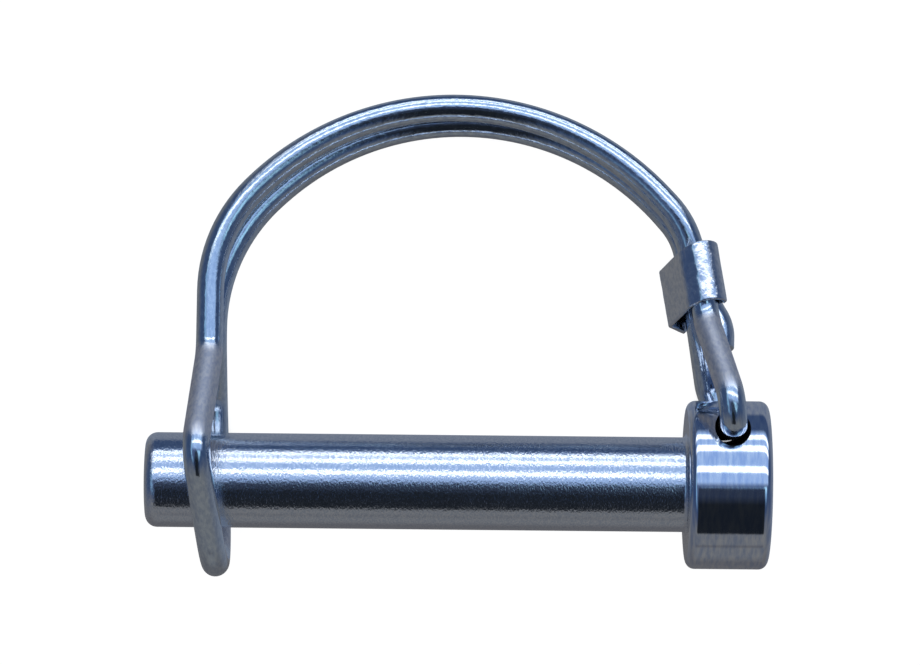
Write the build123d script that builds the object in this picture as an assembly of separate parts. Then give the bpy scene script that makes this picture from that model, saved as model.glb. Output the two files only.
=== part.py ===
"""Round wire lock pin: a turned pin with a cross-drilled head, a spring wire bail and a crimp sleeve.

Millimetres. The pin's axis is X and the origin is on it, at the head's shoulder. The shank runs to -X
and the head to +X. The part lies on its side: Z is up and the bail spreads to +Y.
"""

import math
import os

from build123d import *

# turned pin
SHANK_D = 8.0
SHANK_LENGTH = 45.6
TIP_EDGE_R = 1.0
NECK_FILLET_R = 0.35
HEAD_D = 14.2
HEAD_LENGTH = 6.9
HEAD_EDGE_R = 0.75

# cross hole in the head, parallel to Z, where the bail hangs
HOLE_D = 2.9
HOLE_X = 3.6
HOLE_LAND = 0.7  # metal left between the hole and the head's outside
HOLE_Y = HEAD_D / 2 - HOLE_D / 2 - HOLE_LAND

# spring wire
WIRE_D = 2.3
WIRE_R = WIRE_D / 2
REST_Z = WIRE_R - HEAD_D / 2 - 0.05  # the wire's centreline where it lies on the floor

# the arch: two strands, one above the other, in a plane that leans down towards +Y
LEAN_DEG = 9.9
LEAN_Y = 11.8
LEAN_Z = -1.55
STRAND_HALF = 1.185
ARCH_SPANS = 3  # equal tangent arcs that make up each arch
UPPER_ARCH = {"x": -19.68, "q": -3.65, "r": 23.75}
LOWER_ARCH = {"x": -19.05, "q": -3.82, "r": 23.1}
UPPER_RUN_X = -40.34
UPPER_FOOT_Q = -1.2  # the upper strand runs on this far past the lower one's foot
LOWER_RUN_X = -40.13
UPPER_ARCH_ENDS_DEG = (43.0, 136.0)
LOWER_ARCH_ENDS_DEG = (39.5, 133.0)
UPPER_SHOULDER_R = 12.6
LOWER_SHOULDER_R = 15.6

# the closed loop round the pin's tip
LOOP_CLEAR_R = 6.0  # the centreline's smallest distance from the pin's axis
LOOP_FALL_DEG = 35.0
LOOP_RISE_DEG = 50.0
LOOP_FAR_Y = -7.0
LOOP_X = {"crest": -41.05, "far": -39.65, "under": -40.15}
CREST_R = 2.6
FAR_UPPER_R = 5.0
FAR_LOWER_R = 5.2
FLOOR_BEND_Y = 6.6
SPREAD_R = 3.2

# the eye through the head's cross hole, where the wire leans a little inside its clearance
EYE_TOP = (HOLE_X, HOLE_Y + 0.22, HEAD_D / 2 + 0.1)
EYE_BOTTOM = (HOLE_X - 0.1, HOLE_Y - 0.2, REST_Z + 0.2)
MOUTH_BEND_R = 1.4
EYE_CREST = (HOLE_X - 0.35, HEAD_D / 2 + 0.8, HEAD_D / 2 + 0.1)
EYE_FLOOR = (HOLE_X - 1.37, HEAD_D / 2 + 0.9, REST_Z)

# the three wires where the sleeve grips them, as (x, y, z)
UPPER_LEAD = 2.8
LOWER_LEAD = 1.8
STUB_GRIP = (1.97, 15.0, -2.16)
STUB_BEND = (3.0, 13.4, -2.05)
STUB_END = (2.92, 11.5, -1.3)
RETURN_BEND = (1.33, 13.2, -4.05)
HOOK_BEND = (1.5, 14.2, 0.3)
HOOK_END = (0.95, 19.7, 0.7)

# crimp sleeve
SLEEVE_WALL = 0.35
SLEEVE_GAP = 0.07
SLEEVE_TOP = (1.25, 19.2, -1.75)
SLEEVE_LENGTH = 5.0
SLEEVE_TURN_DEG = 10.4
SLEEVE_SLANT_DEG = -20.0
SLEEVE_SPARE = 4.0  # length added at each end and taken off again by the slanted cuts
FLANK_CUT = (1.65, 0, 3.8)  # across, up and along the sleeve, where its right side stops short
FLANK_CUT_DEG = 30.0
LIP_DROP = 0.2
LIP_REACH = (-3.1, -0.9)
LIP_R = 0.6


def lean(x, q, n):
    """The world point that lies q up the leaning arch plane from its foot and n above it."""
    a = math.radians(LEAN_DEG)
    return Vector(
        x,
        LEAN_Y + q * math.cos(a) + n * math.sin(a),
        LEAN_Z - q * math.sin(a) + n * math.cos(a),
    )


def arch_corners(arch, ends_deg, n):
    """Corners of the polyline whose rounded corners make the arch, from its right end to its left."""
    first, last = (math.radians(d) for d in ends_deg)
    half = (last - first) / ARCH_SPANS / 2
    far = arch["r"] / math.cos(half)
    turns = [first + half * (2 * k + 1) for k in range(ARCH_SPANS)]
    return [lean(arch["x"] + far * math.cos(t), arch["q"] + far * math.sin(t), n) for t in turns]


def tangent_point(arch, deg, n, advance):
    """The point reached by going straight on from the arch's right end for the distance advance."""
    t = math.radians(deg)
    x = arch["x"] + arch["r"] * math.cos(t) + advance * math.sin(t)
    q = arch["q"] + arch["r"] * math.sin(t) - advance * math.cos(t)
    return lean(x, q, n)


def shoulder(arch, deg, run_x, n):
    """Where the tangent at the arch's left end meets the straight run down to the loop."""
    t = math.radians(deg)
    x = arch["x"] + arch["r"] * math.cos(t)
    q = arch["q"] + arch["r"] * math.sin(t)
    along = (x - run_x) / math.sin(t)
    return lean(run_x, q + along * math.cos(t), n)


def rounded_path(corners, radii):
    """Straight lines through the corners, each inner corner replaced by an arc of its radius."""
    edges, at = [], corners[0]
    for before, corner, after, r in zip(corners, corners[1:], corners[2:], radii):
        back, on = (before - corner).normalized(), (after - corner).normalized()
        half = math.radians(back.get_angle(on)) / 2
        cut, middle = r / math.tan(half), (back + on).normalized()
        start, end = corner + back * cut, corner + on * cut
        top = corner + middle * (r / math.sin(half) - r)
        if (start - at).length > 1e-4:
            edges.append(Edge.make_line(at, start))
        edges.append(Edge.make_three_point_arc(start, top, end))
        at = end
    edges.append(Edge.make_line(at, corners[-1]))
    return edges


def headed_pin():
    """Shank and head turned in one piece, with the cross hole near the head's rim."""
    r, head_r = SHANK_D / 2, HEAD_D / 2
    with BuildSketch() as half:
        with BuildLine():
            Polyline(
                (-SHANK_LENGTH, 0),
                (-SHANK_LENGTH, r),
                (0, r),
                (0, head_r),
                (HEAD_LENGTH, head_r),
                (HEAD_LENGTH, 0),
                close=True,
            )
        make_face()
        tip = half.vertices().sort_by_distance((-SHANK_LENGTH, r))[0]
        neck = half.vertices().sort_by_distance((0, r))[0]
        rims = [half.vertices().sort_by_distance((x, head_r))[0] for x in (0, HEAD_LENGTH)]
        fillet(tip, TIP_EDGE_R)
        fillet(neck, NECK_FILLET_R)
        fillet(rims, HEAD_EDGE_R)
    pin = revolve(half.sketch, axis=Axis.X)
    return pin - Pos(HOLE_X, HOLE_Y, 0) * Cylinder(HOLE_D / 2, 2 * HEAD_D)


def bail_path():
    """The wire's corners and bend radii, from the cut stub below the sleeve to the end hidden in it."""
    up, down = STRAND_HALF, -STRAND_HALF
    fall, rise = math.radians(LOOP_FALL_DEG), math.radians(LOOP_RISE_DEG)
    upper_foot, lower_foot = lean(UPPER_RUN_X, UPPER_FOOT_Q, up), lean(LOWER_RUN_X, 0, down)

    def fall_z(y):
        return (LOOP_CLEAR_R + y * math.sin(fall)) / math.cos(fall)

    crest_y = (upper_foot.Z + math.tan(rise) * upper_foot.Y - fall_z(0)) / (
        math.tan(rise) + math.tan(fall)
    )
    steps = [
        (Vector(*STUB_END), None),
        (Vector(*STUB_BEND), 3.0),
        (Vector(*STUB_GRIP), 6.0),
        (tangent_point(UPPER_ARCH, UPPER_ARCH_ENDS_DEG[0], up, UPPER_LEAD), 8.0),
        *[(c, UPPER_ARCH["r"]) for c in arch_corners(UPPER_ARCH, UPPER_ARCH_ENDS_DEG, up)],
        (shoulder(UPPER_ARCH, UPPER_ARCH_ENDS_DEG[1], UPPER_RUN_X, up), UPPER_SHOULDER_R),
        (upper_foot, SPREAD_R),
        (Vector(LOOP_X["crest"], crest_y, fall_z(crest_y)), CREST_R),
        (Vector(LOOP_X["far"], LOOP_FAR_Y, fall_z(LOOP_FAR_Y)), FAR_UPPER_R),
        (Vector(LOOP_X["far"], LOOP_FAR_Y, REST_Z), FAR_LOWER_R),
        (Vector(LOOP_X["under"], FLOOR_BEND_Y, REST_Z), SPREAD_R),
        (lower_foot, SPREAD_R),
        (shoulder(LOWER_ARCH, LOWER_ARCH_ENDS_DEG[1], LOWER_RUN_X, down), LOWER_SHOULDER_R),
        *[(c, LOWER_ARCH["r"]) for c in arch_corners(LOWER_ARCH, LOWER_ARCH_ENDS_DEG, down)[::-1]],
        (tangent_point(LOWER_ARCH, LOWER_ARCH_ENDS_DEG[0], down, LOWER_LEAD), 6.0),
        (Vector(*RETURN_BEND), 8.0),
        (Vector(*EYE_FLOOR), 2.5),
        (Vector(*EYE_BOTTOM), MOUTH_BEND_R),
        (Vector(*EYE_TOP), MOUTH_BEND_R),
        (Vector(*EYE_CREST), 2.4),
        (Vector(*HOOK_BEND), 3.0),
        (Vector(*HOOK_END), None),
    ]
    return [c for c, _ in steps], [r for _, r in steps[1:-1]]


def spring_bail():
    """One wire: a double strand arch, a loop round the tip and an eye through the head."""
    corners, radii = bail_path()
    path = Wire(rounded_path(corners, radii))
    start = Plane(origin=path @ 0, z_dir=path % 0)
    return sweep(start * Circle(WIRE_R), path=path)


def sleeve_plane():
    """The sleeve's own plane at its top: X across it, Y towards the camera, Z down along it."""
    t = math.radians(SLEEVE_TURN_DEG)
    across, along = (math.cos(t), math.sin(t), 0), (math.sin(t), -math.cos(t), 0)
    return Plane(origin=SLEEVE_TOP, x_dir=across, z_dir=along)


def slanted(at):
    """A cutting plane across the sleeve, at this distance along it, with its near side higher."""
    return Plane(sleeve_plane().offset(at).location * Location((0, 0, 0), (SLEEVE_SLANT_DEG, 0, 0)))


def hull_tube(discs, grow, start, end):
    """A straight tube round the discs, all grown by the same amount, between two slanted ends."""
    outline = make_hull([Pos(x, y) * Edge.make_circle(r + grow) for x, y, r in discs])
    foot = sleeve_plane().offset(start - SLEEVE_SPARE)
    bar = extrude(foot * outline, end - start + 2 * SLEEVE_SPARE)
    bar = split(bar, bisect_by=slanted(start), keep=Keep.TOP)
    return split(bar, bisect_by=slanted(end), keep=Keep.BOTTOM)


def crimp_sleeve():
    """A short strip sleeve pressed round the three wires, with a lip that stands open on its left."""
    frame = sleeve_plane()
    gripped = [
        HOOK_END,
        HOOK_BEND,
        STUB_GRIP,
        RETURN_BEND,
        tangent_point(UPPER_ARCH, UPPER_ARCH_ENDS_DEG[0], STRAND_HALF, UPPER_LEAD),
        tangent_point(LOWER_ARCH, LOWER_ARCH_ENDS_DEG[0], -STRAND_HALF, LOWER_LEAD),
    ]
    local = [frame.to_local_coords(Vector(*p)) for p in gripped]
    core = [(p.X, p.Y, WIRE_R) for p in local]
    lip = [*core, (*LIP_REACH, LIP_R - SLEEVE_WALL - SLEEVE_GAP)]
    skin = SLEEVE_GAP + SLEEVE_WALL
    below = SLEEVE_LENGTH + SLEEVE_SPARE
    outside = hull_tube(core, skin, 0, SLEEVE_LENGTH) + hull_tube(lip, skin, LIP_DROP, SLEEVE_LENGTH)
    inside = hull_tube(core, SLEEVE_GAP, -SLEEVE_SPARE, below) + hull_tube(
        lip, SLEEVE_GAP, LIP_DROP + SLEEVE_WALL, below
    )
    short_side = sleeve_plane().location * Location(FLANK_CUT, (0, FLANK_CUT_DEG, 0))
    return split(outside - inside, bisect_by=Plane(short_side), keep=Keep.BOTTOM)


PARTS = {
    "headed_pin": headed_pin,
    "spring_bail": spring_bail,
    "crimp_sleeve": crimp_sleeve,
}

os.makedirs("parts", exist_ok=True)
for name, make in PARTS.items():
    solid = make()
    solid.label = name
    export_step(solid, f"parts/{name}.step")
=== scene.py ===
# %% [markdown]
# This lesson dresses a round wire lock pin. The real thing has three pieces: a turned steel pin with
# a drilled head, one length of spring wire bent into a bail, and a little sleeve pressed round the
# wires. All three are plated with bright zinc, so nearly everything that the eye sees is a
# reflection. Good reflections need surfaces that are smooth where the real one is smooth and uneven
# where it is uneven, so each piece is worked out here as a formula on a fine grid of points.

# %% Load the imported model
import math

import bmesh
import bpy
import numpy as np
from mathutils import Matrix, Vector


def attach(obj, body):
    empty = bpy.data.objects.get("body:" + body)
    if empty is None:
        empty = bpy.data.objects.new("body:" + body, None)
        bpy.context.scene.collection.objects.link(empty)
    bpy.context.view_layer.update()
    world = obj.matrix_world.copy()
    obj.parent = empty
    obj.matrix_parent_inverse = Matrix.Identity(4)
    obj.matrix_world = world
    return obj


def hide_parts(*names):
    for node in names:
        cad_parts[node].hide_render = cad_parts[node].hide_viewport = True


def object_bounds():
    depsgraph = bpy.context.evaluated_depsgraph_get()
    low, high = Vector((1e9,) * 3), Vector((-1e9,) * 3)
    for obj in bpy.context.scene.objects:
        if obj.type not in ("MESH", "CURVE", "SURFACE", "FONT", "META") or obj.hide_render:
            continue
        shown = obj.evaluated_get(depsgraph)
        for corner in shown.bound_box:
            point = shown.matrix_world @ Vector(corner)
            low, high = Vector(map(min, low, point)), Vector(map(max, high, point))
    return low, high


MM = 0.001
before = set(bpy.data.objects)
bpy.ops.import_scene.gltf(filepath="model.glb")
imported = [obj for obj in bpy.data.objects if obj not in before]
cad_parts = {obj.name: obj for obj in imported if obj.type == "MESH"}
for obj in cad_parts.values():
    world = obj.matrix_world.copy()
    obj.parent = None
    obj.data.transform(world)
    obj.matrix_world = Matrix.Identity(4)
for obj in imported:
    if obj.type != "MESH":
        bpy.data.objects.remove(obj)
cad_low, cad_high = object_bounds()
print("packed model", [round(v / MM, 2) for v in (*cad_low, *cad_high)])

# %% [markdown]
# The camera of a product photograph like this one looks straight down from about forty centimetres
# with a long lens. The pin's axis lies a little turned in the frame, and the lens's own centre is
# left of the frame's centre, which a small shift of the lens gives back.

# %% Camera
FRAME_WIDTH_PX = 920
LENS_CENTRE_PX = 420.0
FOCAL_PX = 4499.2
CAMERA_X = -22.564
CAMERA_Y = 12.63
CAMERA_HEIGHT = 380.0
CAMERA_TURN_DEG = 0.57
SENSOR_WIDTH = 36.0

camera_data = bpy.data.cameras.new("photo_camera")
camera_data.sensor_width = SENSOR_WIDTH
camera_data.lens = SENSOR_WIDTH * FOCAL_PX / FRAME_WIDTH_PX
camera_data.shift_x = 0.5 - LENS_CENTRE_PX / FRAME_WIDTH_PX
camera_data.clip_start = 0.01
camera_data.clip_end = 10.0
camera = bpy.data.objects.new("photo_camera", camera_data)
camera.location = (CAMERA_X * MM, CAMERA_Y * MM, CAMERA_HEIGHT * MM)
camera.rotation_euler = (0, 0, math.radians(CAMERA_TURN_DEG))
scene = bpy.context.scene
scene.collection.objects.link(camera)
scene.camera = camera
scene.view_settings.view_transform = "Standard"
print("lens", round(camera_data.lens, 1), "mm")

# %% [markdown]
# Three small helpers serve every piece. The first joins neighbouring points of a grid into quads.
# The second puts several grids into one mesh, merges the points that two grids share and turns all
# faces outwards. The third rounds the corners of a line, in the plane or in space, because both the
# pin's outline and the wire's route are straight runs with rounded corners.


# %% Grids into a mesh
MERGE_WITHIN = 0.0004


def grid_quads(rows, cols, round_cols):
    """Corner numbers of the quads of a grid; round_cols joins the last column to the first."""
    i = np.arange(rows - 1)[:, None]
    j = np.arange(cols if round_cols else cols - 1)[None, :]
    k = (j + 1) % cols
    here, below = i * cols, (i + 1) * cols
    return np.stack([here + j, here + k, below + k, below + j], -1).reshape(-1, 4)


def piece_of(name, grids, rest=None, dull_and_painted_reflection=None):
    """One closed mesh from grids, each (points in millimetres as rows by columns by 3, round_cols).

    rest holds one more vector for each point, and the last argument one more number: where the wire
    is duller and carries a painted warm reflection. The mesh keeps them as attributes named after
    the arguments.
    """
    points = np.concatenate([g.reshape(-1, 3) for g, _ in grids])
    starts = np.cumsum([0] + [g.shape[0] * g.shape[1] for g, _ in grids])
    quads = [grid_quads(*g.shape[:2], closed) + at for (g, closed), at in zip(grids, starts)]
    mesh = bpy.data.meshes.new(name)
    mesh.from_pydata(points * MM, [], np.concatenate(quads).tolist())
    if rest is not None:
        held = mesh.attributes.new("rest", "FLOAT_VECTOR", "POINT")
        held.data.foreach_set("vector", (rest.reshape(-1, 3) * MM).ravel())
        mesh.attributes.new("dull_and_painted_reflection", "FLOAT", "POINT").data.foreach_set("value", dull_and_painted_reflection.ravel())
    shape = bmesh.new()
    shape.from_mesh(mesh)
    bmesh.ops.remove_doubles(shape, verts=shape.verts, dist=MERGE_WITHIN * MM)
    bmesh.ops.recalc_face_normals(shape, faces=shape.faces)
    open_edges = sum(not e.is_manifold for e in shape.edges)
    shape.to_mesh(mesh)
    shape.free()
    mesh.shade_smooth()
    piece = bpy.data.objects.new(name, mesh)
    scene.collection.objects.link(piece)
    print(name, len(mesh.polygons), "faces,", open_edges, "open edges")
    return piece


def unit(v):
    """Each vector of an array divided by its own length."""
    return v / np.linalg.norm(v, axis=-1, keepdims=True)


def corner_arc(before, corner, after, radius):
    """Where the arc that rounds a corner starts and ends, its centre and the angle that it turns."""
    back, on = unit(before - corner), unit(after - corner)
    half = math.acos(np.clip(back @ on, -1, 1)) / 2
    cut = radius / math.tan(half)
    centre = corner + unit(back + on) * radius / math.sin(half)
    return corner + back * cut, corner + on * cut, centre, math.pi - 2 * half


# %% [markdown]
# The pin is turned on a lathe, so its surface is a profile carried round the X axis: a point of the
# profile at height r goes to (x, r cos a, r sin a). Real edges are never sharp. Each corner of the
# profile gets a small arc, which catches a thin line of light, and a point just before and after the
# arc keeps the flats flat when the surface is shaded smooth.

# %% The pin's outline
SHANK_R = 4.0
SHANK_LENGTH = 45.6
TIP_EDGE_R = 1.0
NECK_FILLET_R = 0.35
HEAD_R = 7.1
HEAD_LENGTH = 6.9
HEAD_EDGE_R = 0.75
SUPPORT = 0.03
ARC_STEPS = 8
OUTLINE_STEP = 0.8


def profile_of(corners, radii, longest):
    """Points along a plane line with rounded corners, no further apart than longest."""
    ends, arcs = [corners[0]], []
    for before, corner, after, r in zip(corners, corners[1:], corners[2:], radii):
        start, end, centre, turn = corner_arc(before, corner, after, r)
        share = np.linspace(0, 1, ARC_STEPS + 1)[:, None] * turn
        a, b = start - centre, end - centre
        arcs.append(centre + (np.sin(turn - share) * a + np.sin(share) * b) / math.sin(turn))
        ends += [start, end]
    ends.append(corners[-1])
    out = []
    for k in range(0, len(ends), 2):
        start, end = ends[k], ends[k + 1]
        length = np.linalg.norm(end - start)
        inner = np.linspace(SUPPORT, length - SUPPORT, max(2, math.ceil(length / longest)))
        out.append(start + (end - start) * inner[:, None] / length)
        if k // 2 < len(arcs):
            out.append(arcs[k // 2])
    return np.concatenate([corners[:1], *out, corners[-1:]])


pin_corners = np.array([
    (-SHANK_LENGTH, 0),
    (-SHANK_LENGTH, SHANK_R),
    (0, SHANK_R),
    (0, HEAD_R),
    (HEAD_LENGTH, HEAD_R),
    (HEAD_LENGTH, 0),
], float)
pin_radii = [TIP_EDGE_R, NECK_FILLET_R, HEAD_EDGE_R, HEAD_EDGE_R]
pin_line = profile_of(pin_corners, pin_radii, OUTLINE_STEP)
print("pin outline", len(pin_line), "points")

# %% [markdown]
# The head's barrel has a hole across it, parallel to Z, that the wire hangs in. A grid that runs
# round the barrel can't follow a round hole, so the barrel is cut into sectors. Two of them, above
# and below, are replaced by a patch of rays: each ray starts at the hole's edge, seen along Z, and
# ends at the sector's border. Between its ends only x and y are shared out, and z follows from the
# barrel's own circle, so the patch lies exactly on the barrel.

# %% The drilled head
HOLE_R = 1.45
HOLE_X = 3.6
HOLE_Y = 4.95
HOLE_EDGE_R = 0.05
TURN_STEPS = 240
PATCH_LOW_DEG = 15.0
PATCH_HIGH_DEG = 72.0
PATCH_RINGS = 14
PATCH_CROWDING = 1.6
LIP_STEPS = 6
BORE_RINGS = 12
BARREL_STEPS = 40


def turned(line, angles):
    """A profile (x, r) carried round the X axis through the angles, which are in radians."""
    x, r = line[:, :1], line[:, 1:]
    across = np.ones_like(angles)[None, :]
    return np.stack([x * across, r * np.cos(angles), r * np.sin(angles)], -1)


def barrel_height(y):
    """Height of the barrel's surface above the pin's axis at this y."""
    return np.sqrt(HEAD_R**2 - y**2)


all_round = np.arange(TURN_STEPS) * 2 * math.pi / TURN_STEPS
step = all_round[1]
low, high = math.radians(PATCH_LOW_DEG), math.radians(PATCH_HIGH_DEG)
barrel_x = np.linspace(HEAD_EDGE_R, HEAD_LENGTH - HEAD_EDGE_R, BARREL_STEPS + 1)
barrel_line = np.stack([barrel_x, np.full_like(barrel_x, HEAD_R)], -1)
first_rim = int(np.argmin(np.abs(pin_line[:, 0] - barrel_x[0]) + np.abs(pin_line[:, 1] - HEAD_R)))
last_rim = int(np.argmin(np.abs(pin_line[:, 0] - barrel_x[-1]) + np.abs(pin_line[:, 1] - HEAD_R)))
outer_side = np.arange(-low, low + step / 2, step)
far_side = np.arange(high, 2 * math.pi - high + step / 2, step)

patch_turn = np.arange(low, high + step / 2, step)
border_x = np.concatenate([
    barrel_x[:-1],
    np.full(len(patch_turn) - 1, barrel_x[-1]),
    barrel_x[:0:-1],
    np.full(len(patch_turn) - 1, barrel_x[0]),
])
border_turn = np.concatenate([
    np.full(BARREL_STEPS, patch_turn[0]),
    patch_turn[:-1],
    np.full(BARREL_STEPS, patch_turn[-1]),
    patch_turn[:0:-1],
])
border_y = HEAD_R * np.cos(border_turn)
ray = np.arctan2(border_y - HOLE_Y, border_x - HOLE_X)


def mouth(side):
    """The patch of rays round one end of the hole and the rounded edge that leads into it."""
    edge_r = HOLE_R + HOLE_EDGE_R
    share = np.linspace(0, 1, PATCH_RINGS)[:, None] ** PATCH_CROWDING
    x = (HOLE_X + edge_r * np.cos(ray)) * (1 - share) + border_x * share
    y = (HOLE_Y + edge_r * np.sin(ray)) * (1 - share) + border_y * share
    skin = np.stack([x, y, side * barrel_height(y)], -1)[::-1]
    bend = np.linspace(0, math.pi / 2, LIP_STEPS)[1:, None]
    r = HOLE_R + HOLE_EDGE_R * (1 - np.sin(bend))
    lip_x, lip_y = HOLE_X + r * np.cos(ray), HOLE_Y + r * np.sin(ray)
    sunk = HOLE_EDGE_R * (1 - np.cos(bend))
    lip = np.stack([lip_x, lip_y, side * (barrel_height(lip_y) - sunk)], -1)
    return np.concatenate([skin, lip])


upper_mouth, lower_mouth = mouth(1), mouth(-1)
depth = np.linspace(0, 1, BORE_RINGS)[:, None, None]
bore = upper_mouth[-1] * (1 - depth) + lower_mouth[-1] * depth
pin = piece_of("turned_pin", [
    (turned(pin_line[:first_rim + 1], all_round), True),
    (turned(pin_line[last_rim:], all_round), True),
    (turned(barrel_line, outer_side), False),
    (turned(barrel_line, far_side), False),
    (upper_mouth, True),
    (lower_mouth, True),
    (bore, True),
])

# %% [markdown]
# The wire's route is a list of corners with a bend radius at each, just as a wire bender would note
# it. From the cut stub below the sleeve it climbs into the arch, drops over the tip, goes round and
# under it, comes back along the arch beside itself, passes behind the sleeve, goes down under the
# head, up through the hole and back into the sleeve. The arch leans down from the pin, so its points
# are given up the slope and above it.

# %% The wire's corners
WIRE_R = 1.15
REST_Z = -6.0
LEAN_DEG = 9.9
LEAN_Y = 11.8
LEAN_Z = -1.55
STRAND_HALF = 1.185
UPPER_ARCH = {"x": -19.68, "q": -3.65, "r": 23.75, "ends_deg": (43.0, 136.0), "side": 1}
LOWER_ARCH = {"x": -19.05, "q": -3.82, "r": 23.1, "ends_deg": (39.5, 133.0), "side": -1}
UPPER_RUN_X = -40.34
UPPER_FOOT_Q = -1.2
LOWER_RUN_X = -40.13
UPPER_SHOULDER_R = 12.6
LOWER_SHOULDER_R = 15.6
LOOP_CLEAR_R = 6.0
LOOP_FALL = math.radians(35.0)
LOOP_RISE = math.radians(50.0)
LOOP_FAR_Y = -7.0
CREST_X, FAR_X, UNDER_X = -41.05, -39.65, -40.15
CREST_R = 2.6
FAR_UPPER_R = 5.0
FAR_LOWER_R = 5.2
FLOOR_BEND_Y = 6.6
SPREAD_R = 3.2
EYE_TOP = (HOLE_X, HOLE_Y + 0.22, 7.2)
EYE_BOTTOM = (HOLE_X - 0.1, HOLE_Y - 0.2, -5.8)
MOUTH_BEND_R = 1.4
EYE_CREST = (3.25, 7.9, 7.2)
EYE_FLOOR = (2.23, 8.0, REST_Z)
UPPER_LEAD = 2.8
LOWER_LEAD = 1.8
STUB_GRIP = (1.97, 15.0, -2.16)
STUB_BEND = (3.0, 13.4, -2.05)
STUB_END = (2.92, 11.5, -1.3)
RETURN_BEND = (1.33, 13.2, -4.05)
HOOK_BEND = (1.5, 14.2, 0.3)
HOOK_END = (0.95, 19.7, 0.7)


def lean(x, q, n):
    """The point that lies q up the arch's sloping plane from its foot and n above it."""
    a = math.radians(LEAN_DEG)
    y = LEAN_Y + q * math.cos(a) + n * math.sin(a)
    z = LEAN_Z - q * math.sin(a) + n * math.cos(a)
    return np.array([x, y, z])


def on_arch(arch, far, turn, advance=0.0):
    """A point of the arch at this radius and turn, moved on along its tangent by advance."""
    x = arch["x"] + far * math.cos(turn) + advance * math.sin(turn)
    q = arch["q"] + far * math.sin(turn) - advance * math.cos(turn)
    return lean(x, q, arch["side"] * STRAND_HALF)


def arch_run(arch, lead, run_x):
    """The lead-in, three arch corners and the shoulder, from the sleeve's end to the loop's."""
    first, last = (math.radians(d) for d in arch["ends_deg"])
    half = (last - first) / 6
    corners = [on_arch(arch, arch["r"] / math.cos(half), first + half * k) for k in (1, 3, 5)]
    end_x = arch["x"] + arch["r"] * math.cos(last)
    shoulder = on_arch(arch, arch["r"], last, (run_x - end_x) / math.sin(last))
    return [on_arch(arch, arch["r"], first, lead), *corners, shoulder]


def fall_z(y):
    """Height of the loop's falling leg above the tip, at the loop's clearance from the pin's axis."""
    return (LOOP_CLEAR_R + y * math.sin(LOOP_FALL)) / math.cos(LOOP_FALL)


upper_run = arch_run(UPPER_ARCH, UPPER_LEAD, UPPER_RUN_X)
lower_run = arch_run(LOWER_ARCH, LOWER_LEAD, LOWER_RUN_X)
upper_foot = lean(UPPER_RUN_X, UPPER_FOOT_Q, STRAND_HALF)
lower_foot = lean(LOWER_RUN_X, 0, -STRAND_HALF)
rise_top = upper_foot[2] + math.tan(LOOP_RISE) * upper_foot[1] - fall_z(0)
crest_y = rise_top / (math.tan(LOOP_RISE) + math.tan(LOOP_FALL))
route = [
    (STUB_END, 0),
    (STUB_BEND, 3.0),
    (STUB_GRIP, 6.0),
    *zip(upper_run, (8.0, *[UPPER_ARCH["r"]] * 3, UPPER_SHOULDER_R)),
    (upper_foot, SPREAD_R),
    ((CREST_X, crest_y, fall_z(crest_y)), CREST_R),
    ((FAR_X, LOOP_FAR_Y, fall_z(LOOP_FAR_Y)), FAR_UPPER_R),
    ((FAR_X, LOOP_FAR_Y, REST_Z), FAR_LOWER_R),
    ((UNDER_X, FLOOR_BEND_Y, REST_Z), SPREAD_R),
    (lower_foot, SPREAD_R),
    *zip(lower_run[::-1], (LOWER_SHOULDER_R, *[LOWER_ARCH["r"]] * 3, 6.0)),
    (RETURN_BEND, 8.0),
    (EYE_FLOOR, 2.5),
    (EYE_BOTTOM, MOUTH_BEND_R),
    (EYE_TOP, MOUTH_BEND_R),
    (EYE_CREST, 2.4),
    (HOOK_BEND, 3.0),
    (HOOK_END, 0),
]
route_points = np.array([p for p, _ in route], float)
route_radii = [r for _, r in route[1:-1]]
print("wire corners", len(route_points))

# %% [markdown]
# A tube needs a pair of directions across it at every station. They must not spin, or the die lines
# drawn along the wire would twist. On a straight run the pair stays as it is. On an arc it turns
# about the arc's own axis by the angle travelled, which is Rodrigues' rotation formula:
# v cos a + (k x v) sin a + k (k . v)(1 - cos a).

# %% Stations along the wire
RUN_STEP = 0.7
TURN_STEP = math.radians(4.0)


def spun(v, axis, angles):
    """The vector v turned about the unit axis through each of the angles."""
    a = angles[:, None]
    return v * np.cos(a) + np.cross(axis, v) * np.sin(a) + axis * (axis @ v) * (1 - np.cos(a))


def stations(corners, radii):
    """Centre, two directions across and distance travelled, at each station of the rounded route."""
    along = unit(corners[1] - corners[0])
    side = unit(np.cross(along, (0, 0, 1.0)))
    at, gone, rows = corners[0], 0.0, []
    bends = [*zip(corners, corners[1:], corners[2:], radii), None]
    for bend in bends:
        start, end, centre, turn = corner_arc(*bend) if bend else (corners[-1], None, None, 0)
        length = np.linalg.norm(start - at)
        part = np.linspace(0, 1, max(2, math.ceil(length / RUN_STEP)), endpoint=False)[:, None]
        ones = np.ones_like(part)
        rows.append(np.hstack([at + (start - at) * part, side * ones, along * ones, gone + length * part]))
        gone += length
        if bend:
            axis = unit(np.cross(start - centre, end - centre))
            count = max(3, math.ceil(turn / TURN_STEP), math.ceil(turn * bend[3] / RUN_STEP))
            angles = np.linspace(0, turn, count, endpoint=False)
            swept = [spun(v, axis, angles) for v in (start - centre, side, along)]
            rows.append(np.hstack([centre + swept[0], *swept[1:], gone + bend[3] * angles[:, None]]))
            last = np.array([turn])
            side, along = spun(side, axis, last)[0], spun(along, axis, last)[0]
            gone += bend[3] * turn
            at = end
    rows.append(np.hstack([corners[-1], side, along, [gone]])[None, :])
    return np.concatenate(rows)


wire = stations(route_points, route_radii)
centre_line, side_way, along_way, travelled = wire[:, :3], wire[:, 3:6], wire[:, 6:9], wire[:, 9]
print("wire length", round(float(travelled[-1]), 1), "mm in", len(wire), "stations")
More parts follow.
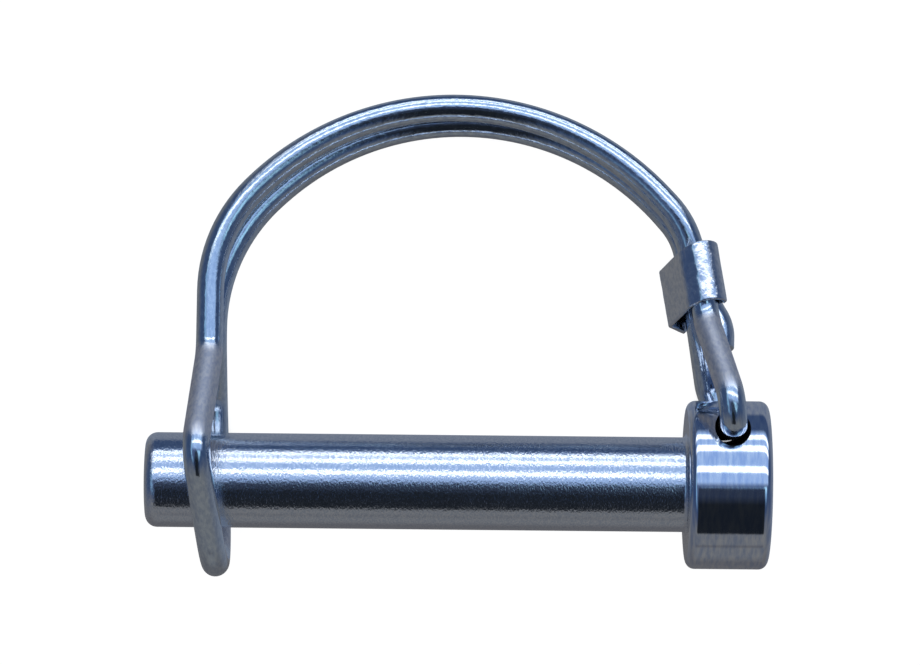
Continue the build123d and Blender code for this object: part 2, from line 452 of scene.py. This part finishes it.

# %% [markdown]
# The tube is P(s, a) = c(s) + r(s) (cos a side(s) + sin a up(s)). At the two cut ends r(s) runs down
# a small quarter circle to nothing, so the caps are part of the same grid. The rest attribute holds
# the same point on the wire laid out straight, (s, r cos a, r sin a), and the plating's pattern
# reads it, so that the die lines follow the bends with no seam. A second attribute comes from the
# climb, -2 y z of the wire's direction: 1 where the wire rises at 45 degrees towards the pin's side,
# 0 where it lies level. It makes those stretches duller and also lays a painted reflection on them,
# a warm tint in their colour.

# %% The wire's surface
WIRE_ROUND = 44
CUT_EDGE_R = 0.16
CAP_STEPS = 5
CAP_RING = 0.6
DULL_AND_PAINTED_CLIMB = 0.7
DULL_AND_PAINTED_SPAN = 0.25


def capped(values, end_values):
    """The stations' values with the first and the last repeated for the stations of the caps."""
    first, last = (np.repeat(end, end_values, 0) for end in (values[:1], values[-1:]))
    return np.concatenate([first, values, last])


cap_turn = np.linspace(0, math.pi / 2, CAP_STEPS)
cap_r = np.concatenate([[0, CAP_RING * WIRE_R], WIRE_R - CUT_EDGE_R * (1 - np.sin(cap_turn))])
cap_back = np.concatenate([[0, 0], CUT_EDGE_R * (1 - np.cos(cap_turn))])
cap_count = len(cap_r)
wire_r = np.concatenate([cap_r, np.full(len(wire), WIRE_R), cap_r[::-1]])
shift = np.concatenate([cap_back, np.zeros(len(wire)), -cap_back[::-1]])
shift[cap_count] = CUT_EDGE_R + SUPPORT
shift[-cap_count - 1] = -CUT_EDGE_R - SUPPORT
sides, alongs = capped(side_way, cap_count), capped(along_way, cap_count)
ups = np.cross(alongs, sides)
middles = capped(centre_line, cap_count) + alongs * shift[:, None]
run = capped(travelled, cap_count) + shift
turn = np.arange(WIRE_ROUND) * 2 * math.pi / WIRE_ROUND
across = np.cos(turn)[:, None] * sides[:, None, :] + np.sin(turn)[:, None] * ups[:, None, :]
wire_points = middles[:, None, :] + across * wire_r[:, None, None]
straight = np.stack([
    np.repeat(run[:, None], WIRE_ROUND, 1),
    wire_r[:, None] * np.cos(turn),
    wire_r[:, None] * np.sin(turn),
], -1)
# The climb mask: duller stretches that also carry a painted warm reflection in their colour.
climb = -2 * alongs[:, 1] * alongs[:, 2]
dull_and_painted_reflection = np.repeat(np.clip((climb - DULL_AND_PAINTED_CLIMB) / DULL_AND_PAINTED_SPAN, 0, 1)[:, None], WIRE_ROUND, 1)
bail = piece_of("spring_wire", [(wire_points, True)], straight, dull_and_painted_reflection)

# %% [markdown]
# The sleeve is a strip of sheet squeezed round the wires. Seen along its own axis, its outline is a
# rubber band stretched round discs: for each outward direction n, the band touches the disc whose
# c . n + r is largest, at the point c + r n. The wall is a thin rounded rectangle carried round that
# band, so the sleeve is one surface, closed both ways, with soft rims.

# %% The crimped sleeve
SLEEVE_WALL = 0.35
SLEEVE_GAP = 0.07
SLEEVE_TOP = np.array([1.25, 19.2, -1.75])
SLEEVE_LENGTH = 5.0
SLEEVE_TURN = math.radians(10.4)
SLEEVE_SLANT = math.radians(20.0)
LIP_DROP = 0.2
LIP_REACH = (-3.1, -0.9)
LIP_R = 0.6
RIM_R = 0.11
BAND_STEPS = 220
WALL_STEPS = 30
RIM_STEPS = 6
DENT_DEPTH = 0.015
FLANK_X = 1.65
FLANK_END = 3.8
FLANK_SLOPE = math.radians(30.0)

sleeve_x = np.array([math.cos(SLEEVE_TURN), math.sin(SLEEVE_TURN), 0])
sleeve_z = np.array([math.sin(SLEEVE_TURN), -math.cos(SLEEVE_TURN), 0])
sleeve_y = np.cross(sleeve_z, sleeve_x)
gripped = np.array([HOOK_END, HOOK_BEND, STUB_GRIP, RETURN_BEND, upper_run[0], lower_run[0]]) - SLEEVE_TOP
discs = np.stack([gripped @ sleeve_x, gripped @ sleeve_y], -1)
discs = np.concatenate([discs, [LIP_REACH]])
disc_r = np.append(np.full(len(gripped), WIRE_R + SLEEVE_GAP), LIP_R - SLEEVE_WALL)


def band(grow):
    """The rubber band round the discs, grown by grow, as points and outward directions."""
    way = np.linspace(0, 2 * math.pi, 4 * BAND_STEPS, endpoint=False)
    outward = np.stack([np.cos(way), np.sin(way)], -1)
    reach = discs @ outward.T + (disc_r + grow)[:, None]
    touch = np.argmax(reach, 0)
    return discs[touch] + (disc_r[touch] + grow)[:, None] * outward, outward


middle_line, outward = band(SLEEVE_WALL / 2)
hop = np.linalg.norm(np.roll(middle_line, -1, 0) - middle_line, axis=1)
walked = np.concatenate([[0], np.cumsum(hop)])
wanted = np.linspace(0, walked[-1], BAND_STEPS, endpoint=False)
middle_line = np.stack([
    np.interp(wanted, walked, np.append(middle_line[:, k], middle_line[0, k])) for k in (0, 1)
], -1)
outward = unit(np.stack([
    np.interp(wanted, walked, np.append(outward[:, k], outward[0, k])) for k in (0, 1)
], -1))
half_wall = SLEEVE_WALL / 2 - RIM_R
side_run = np.linspace(RIM_R, SLEEVE_LENGTH - RIM_R, WALL_STEPS)
quarter = np.linspace(0, math.pi / 2, RIM_STEPS)


def rim_arc(offset, run, first_deg):
    """A quarter of a rim's rounding about the point (offset, run), from this angle on."""
    a = math.radians(first_deg) + quarter
    return np.stack([offset + RIM_R * np.cos(a), run + RIM_R * np.sin(a)], -1)


outer_wall = np.stack([np.full(WALL_STEPS, SLEEVE_WALL / 2), side_run], -1)
wall_line = np.concatenate([
    outer_wall,
    rim_arc(half_wall, SLEEVE_LENGTH - RIM_R, 0)[1:],
    rim_arc(-half_wall, SLEEVE_LENGTH - RIM_R, 90)[:-1],
    outer_wall[::-1] * (-1, 1),
    rim_arc(-half_wall, RIM_R, 180)[1:],
    rim_arc(half_wall, RIM_R, 270),
])


def dents(around, down):
    """Shallow dents of the pressing tool, as crossed waves of uneven length; from -1 to 1."""
    slow = np.sin(2.3 * around + 0.8 * np.sin(1.7 * down)) * np.sin(1.9 * down + 0.6)
    return 0.6 * slow + 0.4 * np.sin(4.1 * around - 1.1 * down + 2.0) * np.sin(3.3 * down)


around, down = wanted[None, :], wall_line[:, 1:]
offset = wall_line[:, :1] + DENT_DEPTH * dents(around, down)
flat_points = middle_line[None] + offset[..., None] * outward[None]
slant = -math.tan(SLEEVE_SLANT) * flat_points[..., 1]
first_end = slant + LIP_DROP * np.clip(-flat_points[..., 0] / 2, 0, 1)
short_side = FLANK_END + math.tan(FLANK_SLOPE) * (FLANK_X - flat_points[..., 0])
last_end = np.minimum(slant + SLEEVE_LENGTH, short_side)
run_down = first_end + (last_end - first_end) * down / SLEEVE_LENGTH
sleeve_points = (
    SLEEVE_TOP
    + flat_points[..., :1] * sleeve_x
    + flat_points[..., 1:] * sleeve_y
    + run_down[..., None] * sleeve_z
)
sleeve = piece_of("pressed_sleeve", [(sleeve_points, True)])

# %% [markdown]
# Bright zinc plate is a thin bluish metal. It is nearly a mirror, but the plating follows the grain
# of the steel and adds its own fine orange peel, so a reflection's edge breaks into small grains.
# One function makes the finish from three ingredients: a fine grain and a slow unevenness, both as
# bumps, and a slight change of tint and gloss. What differs from piece to piece is the tint, the
# grain's size and the direction in which it is drawn out: round the axis on the lathe-turned head,
# along the wire where it was pulled through the die, and no way at all on the sleeve. The stretches
# of wire that climb away from the floor are duller, by the mesh's own attribute, and the same
# attribute lays a painted reflection on them, a warm tint in their colour. The wire and the sleeve
# reflect as if they were tipped a few degrees, which a very broad bump does: it leaves the outline
# alone and lays the highlights where a slightly twisted bail has them.


# %% Plating
MICRON = 1e-6
RING_BREAK = 0.2
NOISE_MIDDLE = (0.3, 0.7)
TINT_STOPS = (0.35, 0.65)


def add(tree, kind, **settings):
    """A new node of this kind with its properties set."""
    made = tree.nodes.new(kind)
    for name, value in settings.items():
        setattr(made, name, value)
    return made


def noise(tree, place, scale, detail):
    """Noise of this many waves per metre that reads the place socket."""
    made = add(tree, "ShaderNodeTexNoise")
    made.inputs["Scale"].default_value = scale
    made.inputs["Detail"].default_value = detail
    tree.links.new(place, made.inputs["Vector"])
    return made.outputs["Fac"]


def stretched(tree, place, stretch):
    """The place socket with each of its three coordinates multiplied."""
    made = add(tree, "ShaderNodeVectorMath", operation="MULTIPLY")
    made.inputs[1].default_value = stretch
    tree.links.new(place, made.inputs[0])
    return made.outputs[0]


def lathe_marks(tree, place):
    """The place as (x, distance from the X axis, 0), with a little of y and z to break the rings."""
    apart = add(tree, "ShaderNodeSeparateXYZ")
    tree.links.new(place, apart.inputs[0])
    far = add(tree, "ShaderNodeVectorMath", operation="LENGTH")
    tree.links.new(stretched(tree, place, (0, 1, 1)), far.inputs[0])
    ring = add(tree, "ShaderNodeCombineXYZ")
    tree.links.new(apart.outputs["X"], ring.inputs["X"])
    tree.links.new(far.outputs["Value"], ring.inputs["Y"])
    broken = add(tree, "ShaderNodeVectorMath", operation="ADD")
    tree.links.new(ring.outputs[0], broken.inputs[0])
    tree.links.new(stretched(tree, place, (0, RING_BREAK, RING_BREAK)), broken.inputs[1])
    return broken.outputs[0]


def spread(tree, value, low, high):
    """The middle of a noise mapped on to low to high."""
    made = add(tree, "ShaderNodeMapRange")
    for name, number in zip(("From Min", "From Max", "To Min", "To Max"), (*NOISE_MIDDLE, low, high)):
        made.inputs[name].default_value = number
    tree.links.new(value, made.inputs["Value"])
    return made.outputs["Result"]


def bump(tree, height, depth, under=None):
    """A bump of this depth in metres over another one."""
    made = add(tree, "ShaderNodeBump")
    made.inputs["Distance"].default_value = depth
    tree.links.new(height, made.inputs["Height"])
    if under:
        tree.links.new(under, made.inputs["Normal"])
    return made.outputs["Normal"]


def tints(tree, value, colours):
    """A colour ramp between two colours."""
    made = add(tree, "ShaderNodeValToRGB")
    for stop, at, colour in zip(made.color_ramp.elements, TINT_STOPS, colours):
        stop.position, stop.color = at, (*colour, 1)
    tree.links.new(value, made.inputs["Fac"])
    return made.outputs["Color"]


def lifted(tree, value, share, most):
    """The value raised towards most by this share."""
    made = add(tree, "ShaderNodeMix", data_type="FLOAT")
    made.inputs["B"].default_value = most
    tree.links.new(share, made.inputs["Factor"])
    tree.links.new(value, made.inputs["A"])
    return made.outputs["Result"]


def zinc(name, marks, colours, grain, stretch, grain_depth, wave, wave_depth, gloss, lean=0):
    """Bright zinc; grain and wave are feature sizes in millimetres, depths are in microns.

    marks is "plain", "turned" for lathe marks, or "drawn" for a pattern, duller stretches and a
    painted warm reflection on them, all from the mesh's own attributes. lean tips the reflecting
    face this many degrees towards +Y.
    """
    material = bpy.data.materials.new(name)
    material.use_nodes = True
    tree = material.node_tree
    shader = tree.nodes["Principled BSDF"]
    if marks == "drawn":
        place = add(tree, "ShaderNodeAttribute", attribute_name="rest").outputs["Vector"]
    else:
        place = add(tree, "ShaderNodeTexCoord").outputs["Object"]
    if marks == "turned":
        place = lathe_marks(tree, place)
    fine = noise(tree, stretched(tree, place, stretch), 1 / (grain * MM), 3.0)
    slow = noise(tree, place, 1 / (wave * MM), 1.0)
    relief = bump(tree, fine, grain_depth * MICRON, bump(tree, slow, wave_depth * MICRON))
    if lean:
        slope = add(tree, "ShaderNodeVectorMath", operation="DOT_PRODUCT")
        slope.inputs[1].default_value = (0, -math.tan(math.radians(lean)), 0)
        tree.links.new(add(tree, "ShaderNodeTexCoord").outputs["Object"], slope.inputs[0])
        relief = bump(tree, slope.outputs["Value"], 1.0, relief)
    tree.links.new(relief, shader.inputs["Normal"])
    colour, rough = tints(tree, fine, colours), spread(tree, slow, *gloss)
    # On drawn wire the climb mask raises the roughness and multiplies in a warm tint, a painted reflection.
    if marks == "drawn":
        dull_and_painted_share = add(tree, "ShaderNodeAttribute", attribute_name="dull_and_painted_reflection").outputs["Fac"]
        painted_warm_reflection = add(tree, "ShaderNodeMix", data_type="RGBA", blend_type="MULTIPLY")
        painted_warm_reflection.inputs[7].default_value = (*PAINTED_REFLECTION_TINT, 1)
        tree.links.new(dull_and_painted_share, painted_warm_reflection.inputs["Factor"])
        tree.links.new(colour, painted_warm_reflection.inputs[6])
        colour, rough = painted_warm_reflection.outputs[2], lifted(tree, rough, dull_and_painted_share, DULL_ROUGH)
    tree.links.new(colour, shader.inputs["Base Color"])
    tree.links.new(rough, shader.inputs["Roughness"])
    shader.inputs["Metallic"].default_value = 1.0
    return material


ZINC = (0.66, 0.71, 0.80), (0.84, 0.86, 0.90)
TURNED_ZINC = (0.56, 0.64, 0.81), (0.86, 0.88, 0.92)
WIRE_ZINC = (0.60, 0.68, 0.79), (0.80, 0.87, 0.92)
# A warm tint painted on the climbing wire as a reflection, not a colour of the zinc.
PAINTED_REFLECTION_TINT = (1.1, 0.98, 0.92)
DULL_ROUGH = 0.5
SLEEVE_LEAN_DEG = 10.0
WIRE_LEAN_DEG = -5.0
zinc_on_shank = zinc(
    "zinc_on_shank", "plain", ZINC,
    grain=0.25, stretch=(1.8, 1, 1), grain_depth=23, wave=2.5, wave_depth=12, gloss=(0.08, 0.13),
)
zinc_on_head = zinc(
    "zinc_on_head", "turned", TURNED_ZINC,
    grain=0.3, stretch=(1, 1, 1), grain_depth=6, wave=2.5, wave_depth=8, gloss=(0.05, 0.09),
)
zinc_on_wire = zinc(
    "zinc_on_wire", "drawn", WIRE_ZINC,
    grain=0.25, stretch=(0.5, 1, 1), grain_depth=16, wave=3.5, wave_depth=8, gloss=(0.08, 0.14),
    lean=WIRE_LEAN_DEG,
)
zinc_on_sleeve = zinc(
    "zinc_on_sleeve", "plain", ZINC,
    grain=0.4, stretch=(1, 1, 1), grain_depth=30, wave=1.2, wave_depth=16, gloss=(0.12, 0.2),
    lean=SLEEVE_LEAN_DEG,
)
finishes = [(pin, zinc_on_shank), (pin, zinc_on_head), (bail, zinc_on_wire), (sleeve, zinc_on_sleeve)]
for piece, finish in finishes:
    piece.data.materials.append(finish)
    print(finish.name, len(finish.node_tree.nodes), "nodes")

# %% [markdown]
# The cross hole is drilled after the head is turned. Its wall lies in shade, and so does the part of
# the wire that turns inside it. Both get painted shade, a nearly black matt steel, given face by
# face: a face belongs to the hole if its middle lies within the hole's round outline and inside the
# head's barrel.

# %% The hole's painted shade
RIM_MARGIN = 0.01
MOUTH_R = HOLE_R + HOLE_EDGE_R + RIM_MARGIN
painted_shade_in_bore = bpy.data.materials.new("bore_painted_shade")
painted_shade_in_bore.use_nodes = True
bore_shader = painted_shade_in_bore.node_tree.nodes["Principled BSDF"]
# Painted shade: the hole's wall and the wire inside it are coloured nearly black.
bore_shader.inputs["Base Color"].default_value = (0.02, 0.02, 0.022, 1)
bore_shader.inputs["Roughness"].default_value = 0.9
bore_shader.inputs["Specular IOR Level"].default_value = 0.1
pin.data.materials.append(painted_shade_in_bore)
bail.data.materials.append(painted_shade_in_bore)


def in_hole(face):
    """Whether the face lies within the hole's round outline and inside the head's barrel."""
    x, y, z = (v / MM for v in face.center)
    return math.hypot(x - HOLE_X, y - HOLE_Y) < MOUTH_R and math.hypot(y, z) < HEAD_R


for face in pin.data.polygons:
    face.material_index = 2 if in_hole(face) else int(face.center.x > 0)
for face in bail.data.polygons:
    face.material_index = int(in_hole(face))
print("wire faces in the hole", sum(face.material_index for face in bail.data.polygons))

# %% [markdown]
# Shiny metal shows its surroundings, so the studio is what gives it form. It is written down as walls,
# each with what it shows at a few angles, out of eleven named colours. On the arch's side three
# straight bright tubes hang along X, over a pale blue glow. Their angle is measured about X, from
# overhead (0 degrees) towards +Y, so that each tube is one straight line along the shank and across
# the head. Opposite stands a dark screen of fixed width. The walls beyond the head, beyond the tip
# and behind the screen are dim, and their angle runs from overhead (0) down to straight below (180).
# A width says how far a wall spreads sideways, towards the tip below 0 and towards the head above 0.
# A reach says where it starts or ends on the way towards +Y. A span gives compass angles, from +Y (0)
# towards +X (90).

# %% Studio
TUBE = (1.9, 2.0, 2.1)
GLOW = (0.41, 0.58, 0.9)
OVERHEAD = (0.09, 0.13, 0.24)
NIGHT = (0.048, 0.08, 0.16)
WINDOW = (0.52, 0.88, 1.15)
DIM_WINDOW = (0.26, 0.46, 0.68)
SCREEN_TOP = (0.031, 0.042, 0.071)
BLACK_CLOTH = (0.012, 0.015, 0.02)
TABLE_GREY = (0.18, 0.185, 0.195)
TABLE_SHADE = (0.13, 0.13, 0.14)
TABLE_BLUE = (0.2, 0.23, 0.29)
LIGHT_WALL = [
    (0, OVERHEAD),
    (6, GLOW),
    (18.5, GLOW),
    (20, TUBE),
    (27, TUBE),
    (28.5, GLOW),
    (48, GLOW),
    (50.5, TUBE),
    (56.5, TUBE),
    (59, GLOW),
    (66.5, GLOW),
    (69, TUBE),
    (73.5, TUBE),
    (75.5, GLOW),
    (84, NIGHT),
    (112, NIGHT),
    (119, TABLE_BLUE),
]
DARK_SCREEN = [
    (0, SCREEN_TOP),
    (14, SCREEN_TOP),
    (25, BLACK_CLOTH),
    (67.5, BLACK_CLOTH),
    (70, TABLE_GREY),
    (87, TABLE_GREY),
    (91, TABLE_SHADE),
    (95, TABLE_GREY),
    (112, TABLE_GREY),
    (130, TABLE_SHADE),
]
BACK_WALL = [(0, OVERHEAD), (10, NIGHT), (40, NIGHT), (68, TABLE_GREY), (90, TABLE_GREY), (130, TABLE_SHADE)]
HEAD_WALL = [(3, OVERHEAD), (12, WINDOW), (26, WINDOW), (38, NIGHT), (75, NIGHT), (125, TABLE_BLUE)]
TIP_WALL = [
    (0, OVERHEAD),
    (30, OVERHEAD),
    (35, DIM_WINDOW),
    (42, DIM_WINDOW),
    (48, NIGHT),
    (80, NIGHT),
    (125, TABLE_GREY),
]
WHITE, BLACK = (1, 1, 1), (0, 0, 0)
LIGHT_WIDTH = [(-42, BLACK), (-20, WHITE), (42, WHITE), (55, BLACK)]
LIGHT_REACH = [(-1.5, BLACK), (0.5, WHITE)]
SCREEN_WIDTH = [(-18, BLACK), (-9, WHITE), (9, WHITE), (18, BLACK)]
SCREEN_REACH = [(-3.5, WHITE), (-1.5, BLACK)]
HEAD_SPAN = [(20, BLACK), (40, WHITE), (100, WHITE), (148, BLACK)]
TIP_SPAN = [(-148, BLACK), (-105, WHITE), (-40, WHITE), (-20, BLACK)]


def ramp(tree, value, stops, low, high):
    """A colour ramp whose stops are angles between low and high, in degrees."""
    scaled = add(tree, "ShaderNodeMapRange")
    scaled.inputs["From Min"].default_value = math.radians(low)
    scaled.inputs["From Max"].default_value = math.radians(high)
    tree.links.new(value, scaled.inputs["Value"])
    made = add(tree, "ShaderNodeValToRGB")
    points = made.color_ramp.elements
    while len(points) < len(stops):
        points.new(0.5)
    for point, (angle, colour) in zip(points, stops):
        point.position = (angle - low) / (high - low)
        point.color = (*colour, 1)
    tree.links.new(scaled.outputs["Result"], made.inputs["Fac"])
    return made.outputs["Color"]


def blend(tree, share, under, over):
    """The colour over laid on the colour under by this share."""
    made = add(tree, "ShaderNodeMix", data_type="RGBA")
    tree.links.new(share, made.inputs["Factor"])
    tree.links.new(under, made.inputs[6])
    tree.links.new(over, made.inputs[7])
    return made.outputs[2]


world = bpy.data.worlds.new("studio")
scene.world = world
world.use_nodes = True
tree = world.node_tree
direction = add(tree, "ShaderNodeSeparateXYZ")
tree.links.new(add(tree, "ShaderNodeTexCoord").outputs["Generated"], direction.inputs[0])
sideways = add(tree, "ShaderNodeMath", operation="ARCSINE")
tree.links.new(direction.outputs["X"], sideways.inputs[0])
forwards = add(tree, "ShaderNodeMath", operation="ARCSINE")
tree.links.new(direction.outputs["Y"], forwards.inputs[0])
from_top = add(tree, "ShaderNodeMath", operation="ARCCOSINE")
tree.links.new(direction.outputs["Z"], from_top.inputs[0])
past_top = add(tree, "ShaderNodeMath", operation="ARCTAN2")
tree.links.new(direction.outputs["Y"], past_top.inputs[0])
tree.links.new(direction.outputs["Z"], past_top.inputs[1])
round_about = add(tree, "ShaderNodeMath", operation="ARCTAN2")
tree.links.new(direction.outputs["X"], round_about.inputs[0])
tree.links.new(direction.outputs["Y"], round_about.inputs[1])
studio = ramp(tree, from_top.outputs[0], BACK_WALL, 0, 180)
for wall, span in ((HEAD_WALL, HEAD_SPAN), (TIP_WALL, TIP_SPAN)):
    there = ramp(tree, round_about.outputs[0], span, -180, 180)
    studio = blend(tree, there, studio, ramp(tree, from_top.outputs[0], wall, 0, 180))
for wall, height, width, reach in (
    (LIGHT_WALL, past_top, LIGHT_WIDTH, LIGHT_REACH),
    (DARK_SCREEN, from_top, SCREEN_WIDTH, SCREEN_REACH),
):
    there = add(tree, "ShaderNodeMath", operation="MULTIPLY")
    tree.links.new(ramp(tree, sideways.outputs[0], width, -90, 90), there.inputs[0])
    tree.links.new(ramp(tree, forwards.outputs[0], reach, -90, 90), there.inputs[1])
    studio = blend(tree, there.outputs[0], studio, ramp(tree, height.outputs[0], wall, 0, 180))
shown = add(tree, "ShaderNodeMix", data_type="RGBA")
shown.inputs[7].default_value = (1, 1, 1, 1)
tree.links.new(add(tree, "ShaderNodeLightPath").outputs["Is Camera Ray"], shown.inputs["Factor"])
tree.links.new(studio, shown.inputs[6])
tree.links.new(shown.outputs[2], tree.nodes["Background"].inputs["Color"])
print("studio", len(tree.nodes), "nodes")

# %% [markdown]
# The part lies on a plain white floor. To the camera the floor is almost all paper white, with a
# little of its real shading mixed in, which keeps the soft shadow where the metal touches it. Where
# the part shuts the floor in almost wholly, as below the cross hole, only the real shading shows.

# %% Floor
FLOOR_HALF = 600.0
PAPER_GLOW = 1.13
PAPER_SHARE = 0.88
SHUT_IN_REACH = 8.0
SHUT_IN = (0.05, 0.3)
floor_mesh = bpy.data.meshes.new("floor")
floor_z = cad_low.z
floor_mesh.from_pydata(
    [(x * FLOOR_HALF * MM, y * FLOOR_HALF * MM, floor_z) for x, y in ((-1, -1), (1, -1), (1, 1), (-1, 1))],
    [],
    [(0, 1, 2, 3)],
)
floor = bpy.data.objects.new("floor", floor_mesh)
scene.collection.objects.link(floor)
floor.visible_glossy = False
paper = bpy.data.materials.new("white_paper")
paper.use_nodes = True
tree = paper.node_tree
glow = add(tree, "ShaderNodeEmission")
glow.inputs["Strength"].default_value = PAPER_GLOW
matt = add(tree, "ShaderNodeBsdfDiffuse")
matt.inputs["Color"].default_value = (0.8, 0.8, 0.8, 1)
openness = add(tree, "ShaderNodeAmbientOcclusion", samples=8)
openness.inputs["Distance"].default_value = SHUT_IN_REACH * MM
white_share = add(tree, "ShaderNodeMapRange")
for name, number in zip(("From Min", "From Max", "To Max"), (*SHUT_IN, PAPER_SHARE)):
    white_share.inputs[name].default_value = number
tree.links.new(openness.outputs["AO"], white_share.inputs["Value"])
share = add(tree, "ShaderNodeMath", operation="MULTIPLY")
tree.links.new(add(tree, "ShaderNodeLightPath").outputs["Is Camera Ray"], share.inputs[0])
tree.links.new(white_share.outputs["Result"], share.inputs[1])
both = add(tree, "ShaderNodeMixShader")
tree.links.new(share.outputs[0], both.inputs[0])
tree.links.new(matt.outputs[0], both.inputs[1])
tree.links.new(glow.outputs[0], both.inputs[2])
tree.links.new(both.outputs[0], tree.nodes["Material Output"].inputs["Surface"])
floor_mesh.materials.append(paper)
print("floor at", round(floor_z / MM, 2))

# %% [markdown]
# Each new piece stands for one node of the imported model and rides on that node's body, so that the
# bail and its sleeve swing together about the hole.

# %% Bodies
for piece, node_name, body, slot in (
    (pin, "headed_pin", "pin", "pin_steel"),
    (bail, "spring_bail", "bail", "wire_steel"),
    (sleeve, "crimp_sleeve", "bail", "sleeve_steel"),
):
    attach(piece, body)
    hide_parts(node_name)
